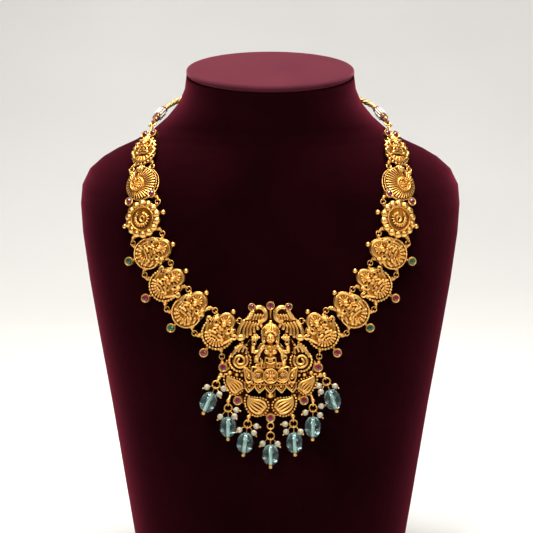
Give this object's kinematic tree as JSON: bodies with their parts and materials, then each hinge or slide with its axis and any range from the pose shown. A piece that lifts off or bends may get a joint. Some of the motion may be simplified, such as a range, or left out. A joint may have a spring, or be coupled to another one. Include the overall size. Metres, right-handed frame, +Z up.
{
  "type": "gold necklace on a neck bust",
  "caption": "Cast gold necklace with a figure pendant, figure plaques, glass drops and a bound back cord, worn by the velvet neck bust that displays it.",
  "frame": {"origin": "on the flat base of the bust, straight under the middle of its neck", "axes": "+Z up along the bust, -Y out of its front, +X to the right of a viewer who faces it"},
  "size_m": [0.221, 0.138, 0.3],
  "materials": {
    "velvet": "matte",
    "antique_gold": "satin",
    "ruby": "gloss",
    "emerald": "gloss",
    "clear_stone": "gloss",
    "aqua_glass": "gloss",
    "pearl": "gloss",
    "seed_pearl": "gloss",
    "maroon_thread": "satin",
    "gold_thread": "satin"
  },
  "bodies": {
    "root": {"bust": "velvet", "neck_cap": "velvet", "pendant": "antique_gold", "plaque_l1": "antique_gold", "plaque_l2": "antique_gold", "plaque_l3": "antique_gold", "plaque_l4": "antique_gold", "plaque_l5": "antique_gold", "plaque_l6": "antique_gold", "plaque_l7": "antique_gold", "plaque_r1": "antique_gold", "plaque_r2": "antique_gold", "plaque_r3": "antique_gold", "plaque_r4": "antique_gold", "plaque_r5": "antique_gold", "plaque_r6": "antique_gold", "plaque_r7": "antique_gold", "link_rings_left": "antique_gold", "link_rings_right": "antique_gold", "rubies": "ruby", "emeralds": "emerald", "clear_stones": "clear_stone", "drop_ring_1": "antique_gold", "drop_ring_2": "antique_gold", "drop_ring_3": "antique_gold", "drop_ring_4": "antique_gold", "drop_ring_5": "antique_gold", "drop_ring_6": "antique_gold", "drop_ring_7": "antique_gold", "drop_pin_1": "antique_gold", "drop_pin_2": "antique_gold", "drop_pin_3": "antique_gold", "drop_pin_4": "antique_gold", "drop_pin_5": "antique_gold", "drop_pin_6": "antique_gold", "drop_pin_7": "antique_gold", "bead_1": "aqua_glass", "bead_2": "aqua_glass", "bead_3": "aqua_glass", "bead_4": "aqua_glass", "bead_5": "aqua_glass", "bead_6": "aqua_glass", "bead_7": "aqua_glass", "pearls": "pearl", "end_links": "antique_gold", "thread_bindings": "maroon_thread", "pearl_wraps": "seed_pearl", "back_cord": "gold_thread", "thread_slide": "maroon_thread"}
  },
  "joints": []
}
